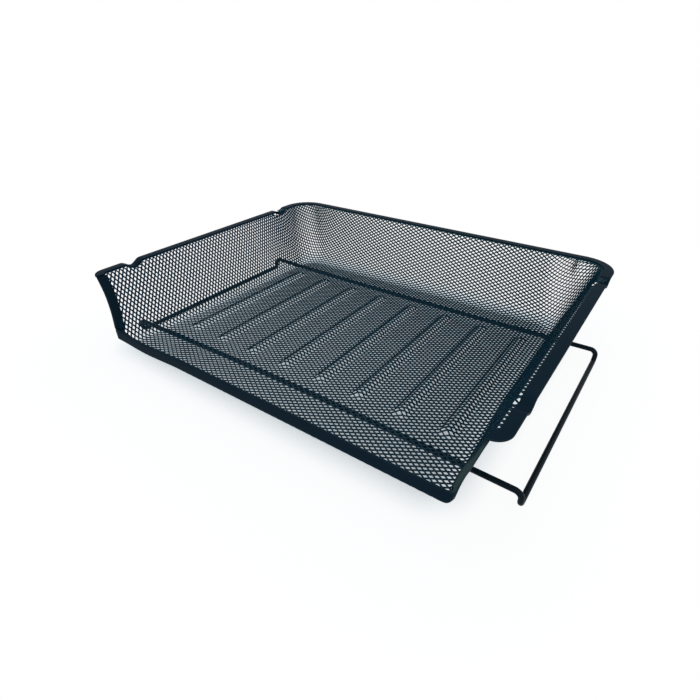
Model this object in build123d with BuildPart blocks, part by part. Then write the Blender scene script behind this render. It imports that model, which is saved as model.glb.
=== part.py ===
"""Stacking letter tray in wire mesh, loaded from its long side.

Millimetres, X to the right, Y from the open front to the back, Z up. The origin is the middle
of the tray's footprint, on the desk. The basket is pressed from one sheet of expanded steel,
drawn here as a closed sheet of the same outline and thickness.
"""

import os
from math import cos, pi, radians, sqrt, tan

from build123d import *

# Basket: the overall size over the edging, and the sheet it is pressed from
rim_width = 355.0
depth = 278.0
basket_height = 60.5  # underside of the floor to the top of the rim
sheet = 1.0
draft = 16.2  # lean of the side and back walls, degrees from upright
rim_flange = 9.0  # wall to the outer edge of the rim
rim_corner = 28.0  # plan radius of the rim's back corners
floor_corner = 24.0  # plan radius of the back corners at floor level
floor_bend = 15.0  # outer radius from floor to side and back walls
rim_setback = 3.0  # how far the rim's front ends stand behind the front lip
ear_corner = 8.0  # plan radius of the rim's front ends

# Front lip
lip_height = 14.8  # underside of the floor to the top of the edging
lip_lean = 12.0  # degrees forward from upright
lip_bend = 8.0  # outer radius from floor to lip

# Folded steel edging
leaf = 0.6
rim_edging_width = 7.2
front_edging_width = 8.3
hem_corner = 4.0  # rounding of the hem's lower corners

# Ribs pressed up in the floor
rib_count = 8
rib_pitch = 35.8
rib_width = 11.0
rib_rise = 3.0
rib_length = 152.0
rib_run_out = 7.0  # sloping length at each end
rib_middle = 132.5  # from the front of the tray

# Wire base, and the notches that seat the base of a tray stacked above
wire = 4.0
wire_front = 40.0  # front long wire, from the front of the tray
wire_span = 190.5  # between the two long wires
wire_half_length = 184.0  # middle of the tray to the middle of a foot wire
foot_drop = 10.0  # long wires above the foot wires
bow_peak = 5.0  # how far inwards the two straight runs of a long wire would meet
bow_run = 120.0  # half the length of a long wire's curved middle
top_bend = 5.0
foot_bend = 4.0
notch_width = 15.0
notch_root = 4.0
notch_shoulder = 5.0

# Heights and places that follow
front = -depth / 2
back = depth / 2
foot_level = wire / 2
long_level = foot_level + foot_drop
floor_low = long_level + wire / 2
floor_top = floor_low + sheet
rim_top = floor_low + basket_height
lip_top = floor_low + lip_height
rim_front = front + rim_setback
slant = tan(radians(draft))
lip_slant = tan(radians(lip_lean))
wall_sheet = sheet / cos(radians(draft))
wall_leaf = leaf / cos(radians(draft))
lip_sheet = sheet / cos(radians(lip_lean))
lip_leaf = leaf / cos(radians(lip_lean))
edging = sheet + 2 * leaf  # thickness of the edging, folded over the sheet
hem_low = lip_top - front_edging_width * cos(radians(lip_lean))
upright_top = rim_top - edging
wire_places = (front + wire_front, front + wire_front + wire_span)
notch_depth = wire
notch_radii = [notch_shoulder, notch_root, notch_shoulder] * len(wire_places)
beyond = 30.0  # overrun of cutting shapes


def wall_half(height):
    """Half width over the outside of the side walls."""
    return rim_width / 2 - rim_flange - (rim_top - height) * slant


def wall_back(height):
    """Place of the outside of the back wall."""
    return back - rim_flange - (rim_top - height) * slant


def wall_corner(height):
    """Plan radius of the outside of the walls' back corners."""
    top_corner = rim_corner - rim_flange
    return floor_corner + (top_corner - floor_corner) * (height - floor_low) / basket_height


def plan(height, half, rear, corner):
    """Plan outline, rounded at the back and running out past the front."""
    with BuildSketch(Plane.XY.offset(height)) as section:
        with Locations((0, (rear + front - beyond) / 2)):
            Rectangle(2 * half, rear - front + beyond)
        fillet(section.vertices().group_by(Axis.Y)[-1], corner)
    return section.sketch


def tub(inset, lowest, highest, bend):
    """The space inside the walls moved in by an inset, with its bottom edges rounded."""
    sections = [
        plan(z, wall_half(z) - inset, wall_back(z) - inset, wall_corner(z) - inset)
        for z in (lowest, highest)
    ]
    with BuildPart() as space:
        loft(sections, ruled=True)
        bottom = space.faces().sort_by(Axis.Z)[0]
        fillet(bottom.edges().sort_by(Axis.Y)[1:], bend)
    return space.part


def across(profile):
    """A side profile carried across the whole width."""
    with BuildPart() as prism:
        extrude(profile, amount=rim_width, both=True)
    return prism.part


def between_walls(inset, lowest):
    """Everything between the side walls' outer faces, moved in by an inset."""
    highest = rim_top + beyond
    with BuildSketch(Plane.XZ) as section:
        with BuildLine():
            Polyline(
                (wall_half(lowest) - inset, lowest),
                (wall_half(highest) - inset, highest),
                (inset - wall_half(highest), highest),
                (inset - wall_half(lowest), lowest),
                close=True,
            )
        make_face()
        fillet(section.vertices().group_by(Axis.Y)[0], hem_corner)
    with BuildPart() as slab:
        extrude(section.sketch, amount=depth, both=True)
    return slab.part


def notch_apex():
    """Depth at which a notch's straight sides would meet below its rounded root."""
    slack = notch_root - notch_depth
    narrow = 1 - (2 * notch_root / notch_width) ** 2
    return (sqrt(slack**2 + narrow * (notch_root**2 - slack**2)) - slack) / narrow


def rim_points(drop, start):
    """The rim's line from front to back, dipping at the notches, as (y, z) points."""
    level = rim_top - drop
    points = [(start, level)]
    for place in wire_places:
        points += [
            (place - notch_width / 2, level),
            (place, level - notch_apex()),
            (place + notch_width / 2, level),
        ]
    return points + [(back + beyond, level)]


def rim_band(drop, thickness):
    """A band that follows the rim's line, carried across the whole width."""
    with BuildSketch(Plane.YZ) as band:
        with BuildLine():
            top = FilletPolyline(*rim_points(drop, front - beyond), radius=notch_radii)
            low = FilletPolyline(*rim_points(drop + thickness, front - beyond), radius=notch_radii)
            Line(top @ 0, low @ 0)
            Line(top @ 1, low @ 1)
        make_face()
    return across(band.sketch)


def front_edge(height):
    """Where the mesh of the side walls ends at the front, above the lip."""
    share = (height - lip_top) / (rim_top - lip_top)
    return front + lip_leaf + rim_setback * share


def lip_face(height):
    """Place of the mesh's outer face on the front lip."""
    return front + lip_leaf + (lip_top - height) * lip_slant


def outside():
    """Everything behind the front lip and the side walls' front edges, below the rim."""
    with BuildSketch(Plane.YZ) as profile:
        with BuildLine():
            top = FilletPolyline(*rim_points(leaf, front_edge(rim_top)), radius=notch_radii)
            Polyline(
                top @ 1,
                (back + beyond, floor_low),
                (lip_face(floor_low), floor_low),
                (lip_face(lip_top - leaf), lip_top - leaf),
                top @ 0,
            )
        make_face()
        fillet(profile.vertices().group_by(Axis.Y)[0].sort_by(Axis.X)[0], lip_bend)
    return across(profile.sketch)


def inside():
    """The space above the floor and behind the lip, open to the front above the lip."""
    with BuildSketch(Plane.YZ) as profile:
        with BuildLine():
            Polyline(
                (lip_face(floor_top) + lip_sheet, floor_top),
                (lip_face(lip_top - leaf) + lip_sheet, lip_top - leaf),
                (front - beyond, lip_top - leaf),
                (front - beyond, rim_top + beyond),
                (back + beyond, rim_top + beyond),
                (back + beyond, floor_top),
                close=True,
            )
        make_face()
        fillet(profile.vertices().group_by(Axis.Y)[0].sort_by(Axis.X)[0], lip_bend - sheet)
    return across(profile.sketch)


def rim_column(inset):
    """The rim's outline moved in by an inset, as an upright column."""
    nearest = rim_front + inset
    furthest = back - inset
    with BuildSketch(Plane.XY.offset(floor_low)) as outline:
        with Locations((0, (nearest + furthest) / 2)):
            Rectangle(rim_width - 2 * inset, furthest - nearest)
        fillet(outline.vertices().group_by(Axis.Y)[-1], rim_corner - inset)
        fillet(outline.vertices().group_by(Axis.Y)[0], ear_corner - inset)
    with BuildPart() as column:
        extrude(outline.sketch, amount=basket_height + beyond)
    return column.part


def rim_sheet():
    """The mesh of the rim, spread over the whole tray."""
    with BuildPart() as layer:
        add(rim_column(leaf))
        add(rim_band(leaf, sheet), mode=Mode.INTERSECT)
    return layer.part


def inner_walls():
    """The space inside the walls' inner faces, open at the front and above."""
    return tub(wall_sheet, floor_top, rim_top + beyond, floor_bend - sheet)


def hollow():
    """The space in the basket."""
    with BuildPart() as space:
        add(inner_walls())
        add(inside(), mode=Mode.INTERSECT)
    return space.part


def rib(drop):
    """The space under a rib's upper face, or under its lower face for a drop of one sheet."""
    crown = floor_top + rib_rise - drop
    base = floor_top - drop
    foot = floor_low - drop
    middle = front + rib_middle
    with BuildSketch(Plane.XZ.offset(-middle)) as arch:
        with BuildLine():
            ThreePointArc((-rib_width / 2, base), (0, crown), (rib_width / 2, base))
            Polyline(
                (rib_width / 2, base),
                (rib_width / 2, foot),
                (-rib_width / 2, foot),
                (-rib_width / 2, base),
            )
        make_face()
    with BuildSketch(Plane.YZ) as length:
        with BuildLine():
            Polyline(
                (middle - rib_length / 2, foot),
                (middle - rib_length / 2, base),
                (middle - rib_length / 2 + rib_run_out, crown),
                (middle + rib_length / 2 - rib_run_out, crown),
                (middle + rib_length / 2, base),
                (middle + rib_length / 2, foot),
                close=True,
            )
        make_face()
    with BuildPart() as ridge:
        extrude(arch.sketch, amount=rib_length / 2, both=True)
        extrude(length.sketch, amount=rib_width, both=True, mode=Mode.INTERSECT)
    return ridge.part


def rim_middle():
    """The space inside the rim's edging, behind its folded front ends."""
    with BuildPart() as column:
        extrude(
            plan(
                floor_low,
                rim_width / 2 - rim_edging_width,
                back - rim_edging_width,
                rim_corner - rim_edging_width,
            ),
            amount=basket_height + beyond,
        )
        split(bisect_by=Plane.XZ.offset(-rim_front - front_edging_width), keep=Keep.BOTTOM)
    return column.part


def front_strip():
    """The front edging's side profile, filled across the whole width."""
    with BuildSketch(Plane.YZ) as profile:
        with BuildLine():
            Polyline(
                (lip_face(hem_low) - lip_leaf, hem_low),
                (lip_face(lip_top) - lip_leaf, lip_top),
                (front_edge(upright_top) - lip_leaf, upright_top),
                (front_edge(upright_top) - lip_leaf + front_edging_width, upright_top),
                (front_edge(lip_top) - lip_leaf + front_edging_width, lip_top),
                (lip_face(hem_low) - lip_leaf + front_edging_width, hem_low),
                close=True,
            )
        make_face()
    return across(profile.sketch)


def front_middle():
    """The space between the front edging's two uprights and behind its hem."""
    with BuildSketch(Plane.YZ) as profile:
        with BuildLine():
            Polyline(
                (lip_face(hem_low - beyond) + lip_sheet + lip_leaf, hem_low - beyond),
                (lip_face(lip_top) + lip_sheet + lip_leaf, lip_top),
                (front - beyond, lip_top),
                (front - beyond, rim_top + beyond),
                (front + beyond, rim_top + beyond),
                (front + beyond, hem_low - beyond),
                close=True,
            )
        make_face()
    with BuildPart() as space:
        add(across(profile.sketch))
        add(between_walls(wall_sheet + wall_leaf, hem_low - beyond), mode=Mode.INTERSECT)
    return space.part


# Pressed mesh basket: floor with ribs, three walls with an outward rim, and the front lip
with BuildPart() as mesh_basket:
    add(tub(0, floor_low, rim_top, floor_bend))
    add(outside(), mode=Mode.INTERSECT)
    add(rim_sheet())
    add(hollow(), mode=Mode.SUBTRACT)
    with GridLocations(rib_pitch, 0, rib_count, 1):
        add(rib(0))
    with GridLocations(rib_pitch, 0, rib_count, 1):
        add(rib(sheet), mode=Mode.SUBTRACT)

# Folded edging round the rim: it closes over the rim's front ends and follows the notches
with BuildPart() as rim_edging:
    add(rim_column(0))
    add(rim_band(0, edging), mode=Mode.INTERSECT)
    add(rim_middle(), mode=Mode.SUBTRACT)
    add(inner_walls(), mode=Mode.SUBTRACT)
    add(mesh_basket.part, mode=Mode.SUBTRACT)

# Folded edging on the front: the hem on the lip, and the uprights on the side walls
with BuildPart() as front_edging:
    add(front_strip())
    add(front_middle(), mode=Mode.SUBTRACT)
    add(between_walls(-wall_leaf, hem_low), mode=Mode.INTERSECT)
    add(mesh_basket.part, mode=Mode.SUBTRACT)

# Wire base: one closed loop, its two ends bent down to the foot wires
near, far = wire_places
bow_bend = bow_run * wire_half_length / bow_peak
loop = [
    (0, near + bow_peak, long_level, bow_bend),
    (wire_half_length, near, long_level, top_bend),
    (wire_half_length, near, foot_level, foot_bend),
    (wire_half_length, far, foot_level, foot_bend),
    (wire_half_length, far, long_level, top_bend),
    (0, far - bow_peak, long_level, bow_bend),
    (-wire_half_length, far, long_level, top_bend),
    (-wire_half_length, far, foot_level, foot_bend),
    (-wire_half_length, near, foot_level, foot_bend),
    (-wire_half_length, near, long_level, top_bend),
]
with BuildPart() as wire_base:
    with BuildLine() as route:
        FilletPolyline(
            *[point[:3] for point in loop],
            radius=[point[3] for point in loop],
            close=True,
        )
    start = route.edges()[0]
    with BuildSketch(Plane(start @ 0, z_dir=start % 0)):
        Circle(wire / 2)
    sweep()
section_area = pi * wire**2 / 4
length = sum(edge.length for edge in route.edges())
print("wire length", length, "volume ratio", wire_base.part.volume / (section_area * length))

os.makedirs("parts", exist_ok=True)
for name, piece in (
    ("mesh_basket", mesh_basket),
    ("rim_edging", rim_edging),
    ("front_edging", front_edging),
    ("wire_base", wire_base),
):
    piece.part.label = name
    export_step(piece.part, f"parts/{name}.step")
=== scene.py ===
"""Letter tray in black expanded steel mesh: the looks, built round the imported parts.

Lengths are in millimetres until a piece's points are scaled by MM. The mesh is drawn flat, with u
across the tray and v from its front to its back, and is then pressed into the tray's shape.
"""

from math import cos, pi, radians, sin, sqrt, tan

import bpy
import numpy as np
from mathutils import Matrix, Vector


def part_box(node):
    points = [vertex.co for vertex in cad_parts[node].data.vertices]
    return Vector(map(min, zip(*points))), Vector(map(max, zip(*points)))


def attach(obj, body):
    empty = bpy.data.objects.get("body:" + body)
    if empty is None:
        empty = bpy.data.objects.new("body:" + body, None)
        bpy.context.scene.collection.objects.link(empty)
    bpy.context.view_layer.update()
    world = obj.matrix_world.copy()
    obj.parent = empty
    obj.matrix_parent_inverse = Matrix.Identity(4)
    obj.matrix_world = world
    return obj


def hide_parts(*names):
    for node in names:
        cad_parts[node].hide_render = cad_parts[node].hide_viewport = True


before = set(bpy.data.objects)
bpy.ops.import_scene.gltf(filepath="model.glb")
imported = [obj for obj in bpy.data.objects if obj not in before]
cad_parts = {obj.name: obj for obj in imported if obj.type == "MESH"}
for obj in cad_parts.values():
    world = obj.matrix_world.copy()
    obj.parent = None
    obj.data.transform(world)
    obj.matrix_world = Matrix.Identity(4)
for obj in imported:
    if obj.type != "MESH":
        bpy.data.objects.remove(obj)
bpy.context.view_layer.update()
MM = 0.001

# The outside of the tray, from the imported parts
basket_low, basket_high = (np.array(corner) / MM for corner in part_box("mesh_basket"))
rim_low, rim_high = (np.array(corner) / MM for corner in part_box("rim_edging"))
lip_low, _ = (np.array(corner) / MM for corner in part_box("front_edging"))
SHEET = 1.0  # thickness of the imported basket's sheet
FLOOR = basket_low[2] + SHEET / 2
RIM = basket_high[2] - SHEET / 2
RIM_TOP = rim_high[2]
RIM_FRONT = rim_low[1]
SIDE = rim_high[0]
BACK = rim_high[1]
FRONT = lip_low[1]

# The pressed shape
DRAFT = radians(16.2)  # lean of the back wall, and of the side walls at their front end
DRAW = pi / 2 - DRAFT
SIDE_LEAN = radians(21.5)  # lean of the side walls further back
LEAN_START, LEAN_RUN = -139.0, 110.0
FLANGE = 9.0
FLOOR_BEND = 14.5  # bend radius below the back wall, to the middle of the sheet
SIDE_BEND = 4.0  # the same below the side walls
TOP_SOFT = 0.9  # half the length over which a wall eases into the rim
FLAT_CORNER = 12.7  # plan radius of the back corners where the floor starts to turn up
BEND_CORNER = 22.6  # where the wall starts
TOP_CORNER = 18.5  # at the top of the wall
CORNER_PULL = 90.0  # length of wall, each side of a back corner, that the drawing squeezes
BACK_STRETCH = 0.93  # the back wall's rows sit closer together
NOTCHES = (-99.0, 91.5)
NOTCH_DEPTH, NOTCH_HALF = 4.0, 9.5
RIB_COUNT, RIB_PITCH, RIB_HALF, RIB_RISE = 8, 35.8, 5.5, 3.0
RIB_MIDDLE, RIB_REACH, RIB_RUN_OUT = -6.5, 78.0, 6.0
LIP_LEAN = radians(5.0)
LIP_BEND = 7.5
LIP_TOP = 28.8
LIP_STEEL = 0.6  # steel of the front strip, which the lip's edge stands inside
LIP_MEET, LIP_MEET_RUN = 22.0, -8.0  # the lip runs out into the side walls below this height
LIP_SOFT = 3.0  # height over which lip and side wall blend
PUCKER_X, PUCKER_Z = 146.0, 68.5
PUCKER_GATHER, PUCKER_DEPTH = 3.0, 2.4
PUCKER_BESIDE = 4.5  # the cells gather this far to the right of the crease
GATHER_WIDE, GATHER_HIGH = 6.0, 9.0
CREASE_WIDE, CREASE_HIGH = 2.0, 7.0
BACK_START, BACK_RUN = 118.0, 6.0  # what lies behind this is the back wall
SWAY, SWAY_HEIGHT = 0.9, 45.0
SWAY_START, SWAY_RUN = -60.0, -60.0

# The expanded mesh
CELL_LONG, CELL_SHORT = 6.0, 3.7
SHEET_PHASE = np.array([[0.5], [0.5]])
STRAND = 0.90  # width of the floor's strands
WALL_STRAND = 1.1
SIDE_STRAND_FRONT, SIDE_STRAND_BACK = 0.07, -0.12  # how much the side walls' strands differ
CORNER_STRAND = -0.3  # how much those round the right back corner differ
RIM_STRAND = 1.0
RIM_NEAR = 0.6  # the rim's strands start this far below its sheet
WIDEN_LEAST, WIDEN_MOST = 0.9, 2.6  # how much a flat strand may be widened before pressing
STRAND_MOST = 0.40  # half a strand never takes up more of a cell than this
STRAND_ZONE = 0.3  # what is nearer to a slit line than this share of a cell is a strand
LEAST_AREA = 0.05  # guards the division where pressing squeezes the sheet to nothing
HOLE_CUT = 0.16  # how far the corners of each hole are cut back
THICK = 0.8
TILT = 0.06  # each strand is turned a little out of the sheet, as expanding the slit steel does
TILT_CHANGE = 6  # how sharply the tilt changes sides where strands cross
SHEET_CELLS, SHEET_BACK = 168, 15  # cells each way, and half cells by which the sheet is set back
FLOOR_SPLIT = -17.0  # the floor is kept as two pieces, front and back
WALL_SEAM = 10.0  # how far up its bend each wall's own piece of mesh starts
RIM_MARGIN = 4.2  # the mesh ends this far inside the rim's outer edge, within the folded strip
FRONT_MARGIN = 4.0  # the same at the front edges of the side walls
FRONT_MARGIN_LOW = 3.0  # which counts down to this far below the lip's top
LIP_MARGIN = 1.5  # the lip's mesh ends this far below its edge, along the sheet

# The folded strips
RIM_STRIP, FRONT_STRIP = 7.8, 8.3  # widths once folded
STRIP_THICK = 1.9
RIM_LEAF, FRONT_LEAF = 0.45, 0.5  # steel of the two strips
# how strongly a highlight is painted along the rim strip's fold
RIM_PAINTED_HIGHLIGHT = 0.25
EAR, RIM_CORNER = 10.5, 28.0  # radii of the rim's front ends and of its back corners
FOLD_STEPS = 11
PINCH = 2.2  # thickness over the leaves' free edges, which are pinched on to the sheet
NOSE = 0.3  # those edges are eased by this share of the steel
NOTCH_SPARE = 0.5  # length of straight strip drawn past each side of a notch
EAR_STEPS, NOTCH_STEPS, CORNER_STEPS = 9, 21, 19
FRONT_THICK = 2.2  # the front strip's fold along the lip
HEM_ABOVE, HEM_BELOW = 0.9, 9.0  # how far the hem reaches above and below the lip's own top
HEM_BACK = 1.15  # the hem's fold runs this far behind the tray's front
UNDER_RIM = 0.3  # the uprights run this far up into the rim strip
UPRIGHT_FOOT, UPRIGHT_TILT = 0.25, 2.75  # how far back the uprights stand at the foot, and gain
UPRIGHT_BACK = 3.0  # how far back the front edges of the mesh behind them stand at the rim
UPRIGHT_STEPS, TURN_STEPS = 20, 10
FOOT_OUT, FOOT_FROM, FOOT_RUN = 0.7, 42, -10  # the uprights stand out a little at the foot
FLARE_FROM, FLARE_RUN = 32, -8
FULL_FROM, FULL_RUN = 64, -18  # the uprights' folds grow thicker below this height
PAINTED_HIGHLIGHT_FROM, PAINTED_HIGHLIGHT_RUN = 73, -8  # and a highlight is painted into their coat below this one
PAINTED_HIGHLIGHT_LEAST, PAINTED_HIGHLIGHT_GAIN = 0.12, 0.55
LIP_STOPS = (0.97, 0.94, 0.91, 0.87, 0.83, 0.78, 0.73, 0.66, 0.5, 0.3)  # shares of half the lip


def ramp(value, start, run):
    """0 at the start and 1 one run on, straight between; a run below zero goes backwards."""
    return np.clip((value - start) / run, 0, 1)


def eased(share):
    """The same with a soft start and end."""
    return share**2 * (3 - 2 * share)


def wall_out(height):
    """How far the middle of a wall's sheet leans out, from its place at the rim."""
    return -FLANGE - (RIM_TOP - height) * tan(DRAFT) - SHEET / 2 / cos(DRAFT)


flat_out = wall_out(FLOOR) - FLOOR_BEND * tan(DRAW / 2)
FLAT_SIDE = SIDE + flat_out
FLAT_BACK = BACK + flat_out
RISE = RIM - FLOOR
bend_length = FLOOR_BEND * DRAW
bend_out = FLOOR_BEND * sin(DRAW)
bend_up = FLOOR_BEND * (1 - cos(DRAW))
wall_length = (RIM - FLOOR - bend_up) / cos(DRAFT)
wall_spread = wall_length * sin(DRAFT)


def bend_start(bend, lean):
    """Where a wall's bend starts on the flat sheet, counted from where the back wall's does."""
    return bend_out + wall_spread - RISE * np.tan(lean) - bend * np.tan((pi / 2 - lean) / 2)


def wall_profile(reach, dip, bend, lean):
    """How far out and how high a wall has come, for one bend radius and lean."""
    draw = pi / 2 - lean
    flat = bend_start(bend, lean)
    turn = np.clip((reach - flat) / bend, 0, draw)
    wall = (RISE - bend * (1 - np.cos(draw)) - dip) / np.cos(lean)
    past = reach - flat - bend * draw
    up = np.clip(past, 0, wall)
    shelf = np.maximum(past - wall, 0)
    near = ramp(past - wall, -TOP_SOFT, 2 * TOP_SOFT)
    ease = TOP_SOFT * 0.5 * near * (1 - near)
    out = np.minimum(reach, flat) + bend * np.sin(turn) + up * np.sin(lean) + shelf
    height = bend * (1 - np.cos(turn)) + up * np.cos(lean)
    return out + ease, height - ease


def top_reach(lean):
    """Where the top of a side wall lies on the flat sheet, from the back wall's bend."""
    draw = pi / 2 - lean
    wall = (RISE - SIDE_BEND * (1 - np.cos(draw))) / np.cos(lean)
    return bend_start(SIDE_BEND, lean) + SIDE_BEND * draw + wall


# The side walls are drawn so that one whole row of holes lies on the flange beside the edging
ROW, SHOWN = CELL_LONG / 2, 0.5
ROW_REACH = round((FLAT_SIDE + top_reach(SIDE_LEAN) + SHOWN) / ROW) * ROW - FLAT_SIDE - SHOWN


def profile(reach, dip, side, v):
    """The same for the whole tray: the side walls are bent more tightly than the back wall."""
    wide_out, wide_up = wall_profile(reach, dip, FLOOR_BEND, DRAFT)
    lean = DRAFT + (SIDE_LEAN - DRAFT) * ramp(v, LEAN_START, LEAN_RUN)
    drawn = np.where(reach > 0, reach * top_reach(lean) / ROW_REACH, reach)
    tight_out, tight_up = wall_profile(drawn, dip, SIDE_BEND, lean)
    return wide_out + (tight_out - wide_out) * side, wide_up + (tight_up - wide_up) * side


def level_radius(reach, out):
    """Plan radius of the back corners at each level."""
    shelf = np.maximum(reach - bend_length - wall_length, 0)
    low = FLAT_CORNER + (BEND_CORNER - FLAT_CORNER) * ramp(out, 0, bend_out)
    return low + (TOP_CORNER - BEND_CORNER) * ramp(reach, bend_length, wall_length) + shelf


def notch_dip(y):
    """How far the rim dips at each notch."""
    dip = np.zeros_like(y)
    for place in NOTCHES:
        away = np.clip(np.abs(y - place) / NOTCH_HALF, 0, 1)
        dip = dip + NOTCH_DEPTH * (0.5 + 0.5 * np.cos(pi * away))
    return dip


def rib_height(x, y):
    """The raised ribs of the floor."""
    row = np.clip(np.round(x / RIB_PITCH - 0.5), -RIB_COUNT / 2, RIB_COUNT / 2 - 1) + 0.5
    off = np.abs(x - row * RIB_PITCH) / RIB_HALF
    crown = np.clip(1 - off**2, 0, 1)
    end = ramp(np.abs(y - RIB_MIDDLE), RIB_REACH, -RIB_RUN_OUT)
    return RIB_RISE * crown * eased(end)


def lip_profile(reach):
    """How far forward and how high the front lip has come, from the flat floor."""
    turn = np.clip(reach / LIP_BEND, 0, pi / 2 - LIP_LEAN)
    up = np.maximum(reach - LIP_BEND * (pi / 2 - LIP_LEAN), 0)
    out = np.minimum(reach, 0) + LIP_BEND * np.sin(turn) + up * sin(LIP_LEAN)
    height = LIP_BEND * (1 - np.cos(turn)) + up * cos(LIP_LEAN)
    return out, height


lip_edge = LIP_TOP - LIP_STEEL - FLOOR
lip_bend_up = LIP_BEND * (1 - sin(LIP_LEAN))
LIP_REACH = LIP_BEND * (pi / 2 - LIP_LEAN) + (lip_edge - lip_bend_up) / cos(LIP_LEAN)
LIP_FORWARD = float(lip_profile(np.array([LIP_REACH]))[0][0])
FLAT_FRONT = FRONT + LIP_STEEL / cos(LIP_LEAN) + SHEET / 2 / cos(LIP_LEAN) + LIP_FORWARD


def sway(y, z):
    """Both side walls lean a little to the left near the front, half way up."""
    up = ramp(z, FLOOR, SWAY_HEIGHT)
    return SWAY * np.sin(pi * up) * ramp(y, SWAY_START, SWAY_RUN)


def pucker(x, y, z):
    """The small crease that pressing left in the back wall, under the rim by its right corner.

    It gives how far the sheet is gathered along the wall and how far the crease stands inward.
    """
    right, up = x - PUCKER_X, z - PUCKER_Z
    on_back = ramp(y, BACK_START, BACK_RUN)
    beside = (right - PUCKER_BESIDE) / GATHER_WIDE
    gather = np.exp(-(beside**2) - (up / GATHER_HIGH) ** 2)
    crease = np.exp(-((right / CREASE_WIDE) ** 2) - (up / CREASE_HIGH) ** 2)
    return -PUCKER_GATHER * gather * on_back, -PUCKER_DEPTH * crease * on_back


def pressed(u, v):
    """Where each point of the flat sheet lands on the pressed tray, on the sheet's middle."""
    side = np.sign(u)
    u = np.abs(u)
    centre_u, centre_v = FLAT_SIDE - FLAT_CORNER, FLAT_BACK - FLAT_CORNER
    du, dv = u - centre_u, v - centre_v
    corner = (du > 0) & (dv > 0)
    angle = np.where(corner, np.arctan2(dv, du), np.where(dv > du, pi / 2, 0))
    reach = np.where(corner, np.hypot(du, dv), np.maximum(du, dv)) - FLAT_CORNER
    inner = reach < 0
    turn = np.clip(angle / (pi / 2), 0, 1)
    stretch = 1 + (BACK_STRETCH - 1) * turn**2 * (3 - 2 * turn)
    reach = np.where(inner, reach, reach * stretch)
    out, height = profile(reach, notch_dip(v), np.cos(angle) ** 2, v)
    # Along each level line, measured from the middle of the back corner
    ring = FLAT_CORNER + np.maximum(reach, 0)
    along = np.where(
        corner,
        ring * (pi / 4 - angle),
        np.where(dv > du, du - ring * pi / 4, ring * pi / 4 - dv),
    )
    bend = level_radius(reach, np.maximum(out, 0))
    centre_x = FLAT_SIDE + np.maximum(out, 0) - bend
    centre_y = FLAT_BACK + np.maximum(out, 0) - bend
    whole = ring * pi / 4 + CORNER_PULL
    real = bend * pi / 4 + (centre_x - centre_u) + CORNER_PULL
    share = np.clip(np.abs(along) / whole, 0, 1)
    moved = np.abs(along) - (whole - real) * (2 * share - share**2)
    moved = moved * np.sign(along)
    half = bend * pi / 4
    turned = np.clip(pi / 4 - moved / bend, 0, pi / 2)
    x = centre_x + bend * np.cos(turned) + np.minimum(moved + half, 0)
    y = centre_y + bend * np.sin(turned) - np.maximum(moved - half, 0)
    x = np.where(inner, u, x)
    y = np.where(inner, v, y)
    # The front lip
    ahead = FLAT_FRONT - v
    forward, lift = lip_profile(np.maximum(ahead, 0))
    low = ramp(height, LIP_MEET, LIP_MEET_RUN)
    y = np.where(ahead > 0, y + (ahead - forward) * low, y)
    higher = np.maximum(height, lift)
    gap = np.clip((height - lift) / LIP_SOFT, -1, 1)
    blended = higher + 0.25 * LIP_SOFT * (1 - np.abs(gap)) ** 2
    both = (ahead > 0) & (height > 0) & (lift > 0)
    height = np.where(ahead > 0, np.where(both, blended, higher), height)
    z = FLOOR + height + np.where(height < 0.5, rib_height(u * side, v), 0)
    x = x * side
    along, inward = pucker(x, y, z)
    return np.stack([x - sway(y, z) + along, y + inward, z], -1)


def slopes(u, v):
    """How the pressed sheet runs along u and along v at each flat point."""
    step = 0.05
    along_u = (pressed(u + step, v) - pressed(u - step, v)) / (2 * step)
    along_v = (pressed(u, v + step) - pressed(u, v - step)) / (2 * step)
    return along_u, along_v


def slit_lines(u, v):
    """Each point's place between the two families of slits, in whole cells."""
    across, along = u / CELL_LONG, v / CELL_SHORT
    return np.stack([across + along, across - along]) - SHEET_PHASE


def strand_width(u, v, height):
    """How wide the strands are on each part of the tray."""
    width = STRAND + (WALL_STRAND - STRAND) * ramp(height - FLOOR, 0.5, 6)
    beside = ramp(np.abs(u), FLAT_SIDE, 10) * ramp(v, FLAT_BACK - 20, -30)
    extra = SIDE_STRAND_FRONT + (SIDE_STRAND_BACK - SIDE_STRAND_FRONT) * ramp(v, -110, 150)
    width = width + extra * beside
    corner = ramp(np.minimum(u - FLAT_SIDE, v - FLAT_BACK), -12, 15)
    width = width + CORNER_STRAND * corner
    return np.where(height > RIM - RIM_NEAR, RIM_STRAND, width)


def keep_strands(u, v):
    """Widen the flat strands where pressing would squeeze them, so that only the holes close up."""
    along_u, along_v = slopes(u, v)
    area = np.linalg.norm(np.cross(along_u, along_v), axis=1)
    side = np.hypot(CELL_LONG, CELL_SHORT)
    first = np.linalg.norm(along_u * CELL_LONG - along_v * CELL_SHORT, axis=1) / side
    second = np.linalg.norm(along_u * CELL_LONG + along_v * CELL_SHORT, axis=1) / side
    wanted = strand_width(u, v, pressed(u, v)[:, 2])
    lines = slit_lines(u, v)
    off = lines - np.round(lines)
    widen = wanted / STRAND * np.stack([first, second]) / np.maximum(area, LEAST_AREA)
    moved = off * np.clip(widen, WIDEN_LEAST, WIDEN_MOST)
    moved = np.clip(moved, -STRAND_MOST, STRAND_MOST)
    lines = lines - off + np.where(np.abs(off) < STRAND_ZONE, moved, off) + SHEET_PHASE
    return CELL_LONG * (lines[0] + lines[1]) / 2, CELL_SHORT * (lines[0] - lines[1]) / 2


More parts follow.
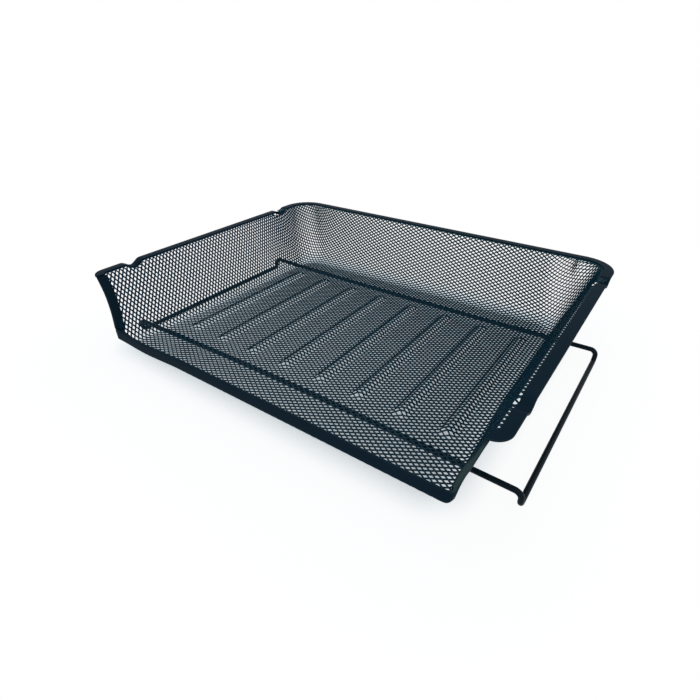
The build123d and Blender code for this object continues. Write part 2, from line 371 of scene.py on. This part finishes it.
def press(piece):
    """Press a flat piece of mesh into the tray's shape, its thickness square to the sheet."""
    count = len(piece.data.vertices)
    flat = np.zeros(count * 3)
    piece.data.vertices.foreach_get("co", flat)
    u, v, w = flat.reshape(-1, 3).T
    u, v = keep_strands(u, v)
    lines = slit_lines(u, v)
    within = lines - np.floor(lines)
    line_gap = CELL_LONG * CELL_SHORT / np.hypot(CELL_LONG, CELL_SHORT)
    off_line = np.minimum(within, 1 - within).min(0) * line_gap
    upper = np.clip((within[0] - within[1]) * TILT_CHANGE, -1, 1)
    w = w + TILT * 2 * off_line * upper
    square = np.cross(*slopes(u, v))
    square /= np.maximum(np.linalg.norm(square, axis=1, keepdims=True), 1e-9)
    place = pressed(u, v) + square * w[:, None]
    piece.data.vertices.foreach_set("co", (place * MM).ravel())
    piece.data.update()


def only(piece):
    """Make a piece the one that the next tools act on."""
    if bpy.context.object and bpy.context.object.mode != "OBJECT":
        bpy.ops.object.mode_set(mode="OBJECT")
    bpy.ops.object.select_all(action="DESELECT")
    piece.select_set(True)
    bpy.context.view_layer.objects.active = piece


def pick_faces(piece, chosen):
    """Select the faces whose flags are set, and nothing else, and go to edit mode."""
    only(piece)
    mesh = piece.data
    mesh.vertices.foreach_set("select", np.zeros(len(mesh.vertices), bool))
    mesh.edges.foreach_set("select", np.zeros(len(mesh.edges), bool))
    mesh.polygons.foreach_set("select", chosen)
    bpy.ops.object.mode_set(mode="EDIT")
    bpy.ops.mesh.select_mode(type="FACE")


def face_middles(piece):
    """The middle of each face."""
    middles = np.zeros(len(piece.data.polygons) * 3)
    piece.data.polygons.foreach_get("center", middles)
    return middles.reshape(-1, 3)


def diamond_sheet():
    """The flat sheet of diamonds that the tray is cut from."""
    origin = (0, 0, 0)
    bpy.ops.object.select_all(action="DESELECT")
    bpy.ops.mesh.primitive_grid_add(
        x_subdivisions=SHEET_CELLS, y_subdivisions=SHEET_CELLS, size=SHEET_CELLS
    )
    sheet = bpy.context.object
    sheet.name = "sheet"
    bpy.ops.object.mode_set(mode="EDIT")
    bpy.ops.mesh.select_all(action="SELECT")
    bpy.ops.transform.rotate(value=pi / 4, orient_axis="Z", center_override=origin)
    diamond = (CELL_LONG / sqrt(2), CELL_SHORT / sqrt(2), 1)
    bpy.ops.transform.resize(value=diamond, center_override=origin)
    bpy.ops.transform.translate(value=(0, SHEET_BACK * CELL_SHORT / 2, 0))
    bpy.ops.object.mode_set(mode="OBJECT")
    return sheet


def region_of(flat):
    """Which piece each diamond belongs to: 0 none, 1 and 2 floor, 3 and 4 sides, 5 back."""
    u, v = flat[:, 0], flat[:, 1]
    x, y, z = pressed(u, v).T
    beside, behind = np.abs(u) - FLAT_SIDE, v - FLAT_BACK
    region = np.where(v < FLOOR_SPLIT, 1, 2)
    high = np.maximum(beside, behind) > WALL_SEAM
    region = np.where(high & (beside >= behind), np.where(u < 0, 3, 4), region)
    region = np.where(high & (behind > beside), 5, region)
    # What the folded strips close is cut off
    cut = (np.abs(x) > SIDE - RIM_MARGIN) | (y > BACK - RIM_MARGIN)
    corner_x, corner_y = np.abs(x) - (SIDE - RIM_CORNER), y - (BACK - RIM_CORNER)
    outside = np.hypot(corner_x, corner_y) > RIM_CORNER - RIM_MARGIN
    cut |= (corner_x > 0) & (corner_y > 0) & outside
    share = ramp(z, LIP_TOP, RIM_TOP - LIP_TOP)
    above_lip = z > LIP_TOP - FRONT_MARGIN_LOW
    cut |= (y < FRONT + UPRIGHT_BACK * share + FRONT_MARGIN) & above_lip
    cut |= FLAT_FRONT - v > LIP_REACH - LIP_MARGIN
    return np.where(cut, 0, region)


def lattice(sheet, regions, number, name):
    """One part of the mesh: its diamonds opened up, rounded, given thickness and pressed."""
    only(sheet)
    bpy.ops.object.duplicate()
    piece = bpy.context.object
    piece.name = name
    pick_faces(piece, regions != number)
    bpy.ops.mesh.delete(type="FACE")
    bpy.ops.mesh.select_all(action="SELECT")
    bpy.ops.mesh.inset(thickness=STRAND / 2, depth=0, use_individual=True)
    bpy.ops.mesh.bevel(affect="VERTICES", offset=HOLE_CUT, segments=1, clamp_overlap=True)
    bpy.ops.object.mode_set(mode="OBJECT")
    # With its corners cut, the inside of a diamond has eight sides
    sides = np.zeros(len(piece.data.polygons), np.int32)
    piece.data.polygons.foreach_get("loop_total", sides)
    pick_faces(piece, sides == 8)
    bpy.ops.mesh.delete(type="FACE")
    bpy.ops.object.mode_set(mode="OBJECT")
    thicken = piece.modifiers.new("thickness", "SOLIDIFY")
    thicken.thickness = THICK
    thicken.offset = 0
    only(piece)
    bpy.ops.object.modifier_apply(modifier=thicken.name)
    press(piece)
    return piece


MESH_PIECES = (
    "mesh_floor_front",
    "mesh_floor_back",
    "mesh_side_left",
    "mesh_side_right",
    "mesh_back",
)
sheet = diamond_sheet()
regions = region_of(face_middles(sheet))
basket = [lattice(sheet, regions, number, name) for number, name in enumerate(MESH_PIECES, 1)]
bpy.data.objects.remove(sheet)
for piece in basket:
    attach(piece, "root")
    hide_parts("mesh_basket")


def strip_section(width, thick, leaf):
    """The folded steel strip cut across, as (depth, across) points: two leaves and the fold."""
    outer, inner = thick / 2, thick / 2 - leaf
    end = min(outer, PINCH / 2)
    nose = leaf * NOSE
    turns = np.linspace(-pi / 2, pi / 2, FOLD_STEPS)
    points = [(outer - outer * cos(turn), outer * sin(turn)) for turn in turns]
    points += [(width - nose, end), (width, end - nose)]
    points += [(width, end - leaf + nose), (width - nose, end - leaf)]
    points += [(outer - inner * cos(turn), inner * sin(turn)) for turn in turns[::-2]]
    points += [(width - nose, leaf - end), (width, leaf - end - nose)]
    points += [(width, nose - end), (width - nose, -end)]
    return np.array(points)


def folded_strip(name, fold, edge, thick, leaf, painted_highlight):
    """Carry the strip's section along its fold, its leaves reaching to the edge line.

    The crown attribute marks the outside of the fold, where a highlight is painted into the coat's
    colour.
    """
    fold, edge = np.array(fold, float), np.array(edge, float)
    thick, painted_highlight = np.broadcast_to(thick, len(fold)), np.broadcast_to(painted_highlight, len(fold))
    ahead = np.gradient(fold, axis=0)
    width = np.linalg.norm(edge - fold, axis=1)
    depth = (edge - fold) / width[:, None]
    across = np.cross(ahead, depth)
    across /= np.linalg.norm(across, axis=1, keepdims=True)
    rings = []
    for place, inward, sideways, reach, full in zip(fold, depth, across, width, thick):
        section = strip_section(reach, full, leaf)
        rings.append(place + section[:, :1] * inward + section[:, 1:] * sideways)
    count, around = len(rings), len(rings[0])
    faces = []
    for start in range(0, (count - 1) * around, around):
        for j in range(around):
            beside = start + (j + 1) % around
            faces.append((start + j, beside, beside + around, start + j + around))
    faces += [tuple(range(around)), tuple(range((count - 1) * around, count * around))]
    mesh = bpy.data.meshes.new(name)
    mesh.from_pydata((np.concatenate(rings) * MM).tolist(), [], faces)
    # How strongly a highlight is painted round the outside of the fold, into the coat's colour
    crown = np.zeros((count, around))
    over_fold = np.cos(np.linspace(-pi / 2, pi / 2, FOLD_STEPS)) ** 2
    crown[:, :FOLD_STEPS] = painted_highlight[:, None] * over_fold
    mesh.attributes.new("crown", "FLOAT", "POINT").data.foreach_set("value", crown.ravel())
    strip = bpy.data.objects.new(name, mesh)
    bpy.context.scene.collection.objects.link(strip)
    only(strip)
    bpy.ops.object.mode_set(mode="EDIT")
    bpy.ops.mesh.select_all(action="SELECT")
    bpy.ops.mesh.normals_make_consistent(inside=False)
    bpy.ops.object.mode_set(mode="OBJECT")
    bpy.ops.object.shade_smooth_by_angle(angle=radians(40))
    return strip


def rim_line():
    """The outer edge of the rim, from its left front end round the back to the right front end."""
    points, inward = [], []

    def arc(middle, radius, start, end, steps):
        for turn in np.linspace(start, end, steps):
            points.append((middle[0] + radius * cos(turn), middle[1] + radius * sin(turn)))
            inward.append((-cos(turn), -sin(turn)))

    arc((-(SIDE - EAR), RIM_FRONT + EAR), EAR, -pi / 2, -pi, EAR_STEPS)
    for place in NOTCHES:
        for step in np.linspace(-1, 1, NOTCH_STEPS):
            points.append((-SIDE, place + step * (NOTCH_HALF + NOTCH_SPARE)))
            inward.append((1, 0))
    middle = (-(SIDE - RIM_CORNER), BACK - RIM_CORNER)
    arc(middle, RIM_CORNER, pi, pi / 2, CORNER_STEPS)
    # The right half is the left half mirrored
    points += [(-x, y) for x, y in points[::-1]]
    inward += [(-x, y) for x, y in inward[::-1]]
    points, inward = np.array(points), np.array(inward)
    dip = notch_dip(points[:, 1]) * (np.abs(points[:, 0]) > SIDE - 1)
    level = RIM_TOP - STRIP_THICK / 2 - dip
    return np.c_[points, level], np.c_[points + inward * RIM_STRIP, level]


rim_strip = folded_strip("rim_strip", *rim_line(), STRIP_THICK, RIM_LEAF, RIM_PAINTED_HIGHLIGHT)
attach(rim_strip, "root")
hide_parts("rim_edging")


def lip_wave(x):
    """The lip isn't quite straight: it dips by its left end and rises a little past the middle."""
    rise = 0.9 * np.exp(-(((x - 15) / 45) ** 2))
    dip = 2.1 * np.exp(-(((x + 118) / 25) ** 2))
    return rise - dip


def front_half(side, bulge, hollow, flare, pull, fold_corner, edge_corner):
    """One half of the front strip: down one wall's front edge and along half of the lip.

    side is 1 for the right half and -1 for the left. bulge is how much thicker the fold is on the
    upright than on the lip, and also how strongly a highlight is painted on it. hollow is how far
    back the upright bows. flare stands its foot out, and pull draws its leaves forward there. The
    last two are the corner's radii at the fold and at the leaves' edge. It gives the fold's line,
    the line of the leaves' free edges, the thickness and how strongly a highlight is painted on the
    fold.
    """
    top = RIM_TOP - STRIP_THICK + UNDER_RIM
    hem_top, hem_low = LIP_TOP + HEM_ABOVE, LIP_TOP - HEM_BELOW
    lip_y = FRONT + HEM_BACK
    start = hem_top + fold_corner
    fold, edge, full = [], [], []

    def wall(z):
        out = FOOT_OUT * ramp(z, FOOT_FROM, FOOT_RUN) + flare * ramp(z, FLARE_FROM, FLARE_RUN)
        return SIDE + wall_out(z) + float(out)

    def front(z):
        share = ramp(z, LIP_TOP, RIM_TOP - LIP_TOP)
        return FRONT + UPRIGHT_FOOT + UPRIGHT_TILT * share + hollow * sin(pi * share)

    # The upright: on a pulled half the leaves' edge runs ahead of the fold towards the corner
    for z in np.linspace(top, start, UPRIGHT_STEPS):
        early = float(ramp(z, start + 10, -10)) ** 2 * (pull > 0)
        low = z - early * (start - hem_low - edge_corner)
        fold.append((wall(z), front(z), z))
        edge.append((wall(low), front(z) + FRONT_STRIP - pull * early, low))
        full.append(float(ramp(z, FULL_FROM, FULL_RUN)))
    # The corner
    fold_x, edge_x = fold[-1][0] - fold_corner, edge[-1][0] - edge_corner
    edge_y, edge_z = edge[-1][1:]
    end_y = lip_y + (hem_top - hem_low) * tan(LIP_LEAN)
    for turn in np.linspace(0, pi / 2, TURN_STEPS)[1:]:
        ease = (1 - cos(2 * turn)) / 2
        fold_y = front(start) + (lip_y - front(start)) * ease + 0.3 * sin(2 * turn)
        fold.append((fold_x + fold_corner * cos(turn), fold_y, start - fold_corner * sin(turn)))
        forward = edge_y + (end_y - edge_y) * (sin(turn) if pull else 1 - cos(turn))
        low = edge_z - (edge_z - hem_low) * sin(turn)
        edge.append((edge_x + edge_corner * cos(turn), forward, low))
        full.append(1 - ease)
    # Half of the lip
    for stop in LIP_STOPS:
        fold.append((fold_x * stop, lip_y, hem_top))
        edge.append((edge_x * stop, end_y, hem_low))
        full.append(0)
    fold, edge, full = np.array(fold), np.array(edge), np.array(full)
    upright = np.arange(len(full)) < UPRIGHT_STEPS
    for line in (fold, edge):
        line[:, 0] = line[:, 0] * side - sway(line[:, 1], line[:, 2])
        line[:, 2] += lip_wave(line[:, 0]) * ~upright
    full = eased(full)
    # A highlight painted on the fold: most on the uprights below a height and round the corners,
    # least along the lip
    painted_highlight = np.where(upright, ramp(fold[:, 2], PAINTED_HIGHLIGHT_FROM, PAINTED_HIGHLIGHT_RUN), full)
    painted_highlight = PAINTED_HIGHLIGHT_LEAST + PAINTED_HIGHLIGHT_GAIN * bulge * painted_highlight
    return fold, edge, FRONT_THICK + bulge * full, painted_highlight


def front_line():
    """The whole front strip, from the right upright round to the left; the right one is fuller."""
    right = front_half(
        1, bulge=2.0, hollow=2.3, flare=1.8, pull=5.0, fold_corner=4.5, edge_corner=4.5
    )
    left = front_half(
        -1, bulge=0.5, hollow=1.7, flare=0.0, pull=0.0, fold_corner=0.8, edge_corner=-0.9
    )
    fold, edge, thick, painted_highlight = (np.concatenate([r, l[::-1]]) for r, l in zip(right, left))
    return fold, edge, thick, FRONT_LEAF, painted_highlight


front_strip = folded_strip("front_strip", *front_line())
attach(front_strip, "root")
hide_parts("front_edging")


class Nodes:
    """Writes a material's nodes as plain sums. A value here is a socket of one node tree."""

    def __init__(self, tree, socket=None):
        self.tree, self.socket = tree, socket

    def add(self, kind, settings=(), inputs=(), output=0):
        """Add one node: its settings first, then the values or links of its inputs."""
        node = self.tree.nodes.new(kind)
        for name, value in dict(settings).items():
            setattr(node, name, value)
        for name, value in dict(inputs).items():
            if isinstance(value, Nodes):
                self.tree.links.new(value.socket, node.inputs[name])
            else:
                node.inputs[name].default_value = value
        return Nodes(self.tree, node.outputs[output])

    def sum(self, operation, first, second):
        return self.add("ShaderNodeMath", {"operation": operation}, {0: first, 1: second})

    def vector(self, operation, *values, output="Vector"):
        settings = {"operation": operation}
        return self.add("ShaderNodeVectorMath", settings, dict(enumerate(values)), output)

    def mix(self, factor, first, second):
        """One colour over another."""
        settings, inputs = {"data_type": "RGBA"}, {"Factor": factor, "A": first, "B": second}
        return self.add("ShaderNodeMix", settings, inputs, output=2)

    def fade(self, value, start, end, low, high):
        """From low to high while the value goes from start to end, eased at both ends."""
        settings = {"interpolation_type": "SMOOTHSTEP"}
        inputs = {"Value": value, "From Min": start, "From Max": end, "To Min": low, "To Max": high}
        return self.add("ShaderNodeMapRange", settings, inputs)

    def __add__(self, other):
        return self.sum("ADD", self, other)

    def __radd__(self, other):
        return self.sum("ADD", other, self)

    def __sub__(self, other):
        return self.sum("SUBTRACT", self, other)

    def __rsub__(self, other):
        return self.sum("SUBTRACT", other, self)

    def __mul__(self, other):
        return self.sum("MULTIPLY", self, other)

    def __rmul__(self, other):
        return self.sum("MULTIPLY", other, self)


WHITE = (1, 1, 1, 1)
COLD = (0.8, 0.92, 1.0, 1)  # the coat's shine
LEFT_WALL, LEFT_FADE = -0.147, 80.0  # in metres: where the lighter, bluer tint painted for the light on the left wall starts, and its fade
# where the lighter, greener tint painted for the light on the back wall starts, and its fade
BACK_WALL, BACK_FADE = 0.110, 60.0
CLOUD_SCALE = 45.0  # the coat's slow changes of colour and shine
CLOUD_ROUGH, PEEL_ROUGH = 0.16, 0.1  # how much each changes the roughness
PEEL_HEIGHT = 0.00006  # of the orange peel, in metres


def powder_coat(name, colour, shade, rough, grain, gloss, painted_highlight=None, left=None, back=None):
    """Black powder coat: a satin skin, slightly blue, with a fine orange-peel surface.

    The coat clouds from colour to shade. The last three colours are a highlight painted along a
    strip's fold, and lighter, bluer tints painted on the left and back walls for the light there.
    """
    material = bpy.data.materials.new(name)
    material.use_nodes = True
    tree = material.node_tree
    surface = tree.nodes["Principled BSDF"]
    draw = Nodes(tree)
    place = draw.add("ShaderNodeTexCoord", output="Object")
    slow = {"Vector": place, "Scale": CLOUD_SCALE, "Detail": 3.0}
    fine = {"Vector": place, "Scale": grain, "Detail": 2.0}
    cloud = draw.add("ShaderNodeTexNoise", inputs=slow)
    peel = draw.add("ShaderNodeTexNoise", inputs=fine)
    paint = draw.mix((cloud - 0.3) * 1.8, (*colour, 1), (*shade, 1))
    # Painted light: the left and back walls are tinted lighter and bluer for the light seen on them
    if left:
        across = draw.add("ShaderNodeSeparateXYZ", inputs={"Vector": place}, output="X")
        paint = draw.mix((LEFT_WALL - across) * LEFT_FADE, paint, (*left, 1))
    if back:
        along = draw.add("ShaderNodeSeparateXYZ", inputs={"Vector": place}, output="Y")
        paint = draw.mix((along - BACK_WALL) * BACK_FADE, paint, (*back, 1))
    # A highlight painted into the coat's colour along the strips' folds
    if painted_highlight:
        crown = draw.add("ShaderNodeAttribute", {"attribute_name": "crown"}, output="Fac")
        paint = draw.mix(crown * (0.4 + cloud * 1.2), paint, (*painted_highlight, 1))
    relief = {"Strength": 0.25, "Distance": PEEL_HEIGHT, "Height": peel}
    bump = draw.add("ShaderNodeBump", inputs=relief)
    roughness = rough + (cloud - 0.5) * CLOUD_ROUGH + (peel - 0.5) * PEEL_ROUGH
    tree.links.new(paint.socket, surface.inputs["Base Color"])
    tree.links.new(roughness.socket, surface.inputs["Roughness"])
    tree.links.new(bump.socket, surface.inputs["Normal"])
    surface.inputs["Specular IOR Level"].default_value = gloss
    surface.inputs["Specular Tint"].default_value = COLD
    return material


coat_mesh = powder_coat(
    "powder_coat_mesh",
    colour=(0.0020, 0.0205, 0.0350),
    shade=(0.0040, 0.0260, 0.0430),
    rough=0.42,
    grain=2600.0,
    gloss=0.06,
    # lighter, bluer tints painted for the light on the left and the back wall
    left=(0.0030, 0.0260, 0.0500),
    back=(0.0020, 0.0310, 0.0430),
)
coat_edging = powder_coat(
    "powder_coat_edging",
    colour=(0.0052, 0.0138, 0.0226),
    shade=(0.0068, 0.0170, 0.0274),
    rough=0.36,
    grain=1800.0,
    gloss=0.006,
    # the colour of the highlight painted along the folds
    painted_highlight=(0.036, 0.053, 0.053),
)
coat_wire = powder_coat(
    "powder_coat_wire",
    colour=(0.0035, 0.0090, 0.0135),
    shade=(0.0050, 0.0115, 0.0170),
    rough=0.38,
    grain=1800.0,
    gloss=0.06,
)
for piece in basket:
    piece.data.materials.clear()
    piece.data.materials.append(coat_mesh)
for strip in (rim_strip, front_strip):
    strip.data.materials.append(coat_edging)
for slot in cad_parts["wire_base"].material_slots:
    slot.material = coat_wire


PAPER, PAPER_ROUGH = (0.71, 0.88, 0.97, 1), 0.9
SHADE_MIDDLE, SHADE_HALF = (-0.016, 0.012, 0), (0.142, 0.118, 0)  # in metres
ROOM, ROOM_LIGHT = (0.90, 0.965, 1, 1), 0.7
LAMP = (0.86, 0.96, 1.0)


def seen_rays(draw):
    """One for what the camera sees straight on, in a gloss or through glass."""
    straight = draw.add("ShaderNodeLightPath", output="Is Camera Ray")
    gloss = draw.add("ShaderNodeLightPath", output="Is Glossy Ray")
    glass = draw.add("ShaderNodeLightPath", output="Is Transmission Ray")
    return straight + gloss + glass


def plain_floor():
    """Matt paper, whitened away from the tray so that only the tray's soft shadow shows."""
    plain = bpy.data.materials.new("plain_floor")
    plain.use_nodes = True
    tree = plain.node_tree
    draw = Nodes(tree)
    place = draw.add("ShaderNodeTexCoord", output="Object")
    # How far each point lies outside the rectangle of floor below the tray
    beside = draw.vector("ABSOLUTE", draw.vector("SUBTRACT", place, SHADE_MIDDLE))
    outside = draw.vector("MAXIMUM", draw.vector("SUBTRACT", beside, SHADE_HALF), (0, 0, 0))
    away = draw.vector("LENGTH", outside, output="Value")
    whiter = draw.fade(away, 0.0, 0.042, 0.27, 0.94) + draw.fade(away, 0.03, 0.14, 0.0, 0.06)
    paper = tree.nodes["Principled BSDF"]
    paper.inputs["Base Color"].default_value = PAPER
    paper.inputs["Roughness"].default_value = PAPER_ROUGH
    paper.inputs["Specular IOR Level"].default_value = 0.0
    white = draw.add("ShaderNodeEmission", inputs={"Color": WHITE, "Strength": 1.0})
    parts = {0: seen_rays(draw) * whiter, 1: Nodes(tree, paper.outputs[0]), 2: white}
    shown = draw.add("ShaderNodeMixShader", inputs=parts)
    tree.links.new(shown.socket, tree.nodes["Material Output"].inputs["Surface"])
    return plain


def studio_world():
    """A pale room that lights the tray from all round, before a white backdrop."""
    world = bpy.data.worlds.new("studio")
    world.use_nodes = True
    tree = world.node_tree
    draw = Nodes(tree)
    room = tree.nodes["Background"]
    room.inputs["Color"].default_value = ROOM
    room.inputs["Strength"].default_value = ROOM_LIGHT
    backdrop = draw.add("ShaderNodeBackground", inputs={"Color": WHITE, "Strength": 1.0})
    parts = {0: seen_rays(draw), 1: Nodes(tree, room.outputs[0]), 2: backdrop}
    shown = draw.add("ShaderNodeMixShader", inputs=parts)
    tree.links.new(shown.socket, tree.nodes["World Output"].inputs["Surface"])
    return world


def soft_light(name, place, size, power):
    """A large square softbox, turned to the tray."""
    bpy.ops.object.light_add(type="AREA", location=place)
    lamp = bpy.context.object
    lamp.name = name
    lamp.data.shape = "SQUARE"
    lamp.data.size = size
    lamp.data.energy = power
    lamp.data.color = LAMP
    lamp.rotation_euler = Vector(place).to_track_quat("Z", "Y").to_euler()


# Floor, light and camera
bpy.ops.object.select_all(action="DESELECT")
bpy.ops.mesh.primitive_plane_add(size=40)
ground = bpy.context.object
ground.name = "ground"
ground.data.materials.append(plain_floor())
bpy.context.scene.world = studio_world()
soft_light("overhead", (-0.5, 0.3, 1.6), size=1.4, power=9)
soft_light("front_right", (1.3, -1.2, 1.0), size=1.0, power=5)

CAMERA_PLACE = (0.2142, -0.3158, 0.2342)
HEADING, LOOK_DOWN, ROLL = 35.327, 32.252, -0.186  # degrees
bpy.ops.object.camera_add()
camera = bpy.context.object
camera.data.lens = 24.91
camera.data.sensor_width = 36.0
camera.data.clip_start = 0.01
camera.matrix_world = (
    Matrix.Translation(CAMERA_PLACE)
    @ Matrix.Rotation(radians(HEADING), 4, "Z")
    @ Matrix.Rotation(radians(90 - LOOK_DOWN), 4, "X")
    @ Matrix.Rotation(radians(ROLL), 4, "Z")
)
bpy.context.scene.camera = camera
bpy.context.scene.view_settings.view_transform = "Standard"
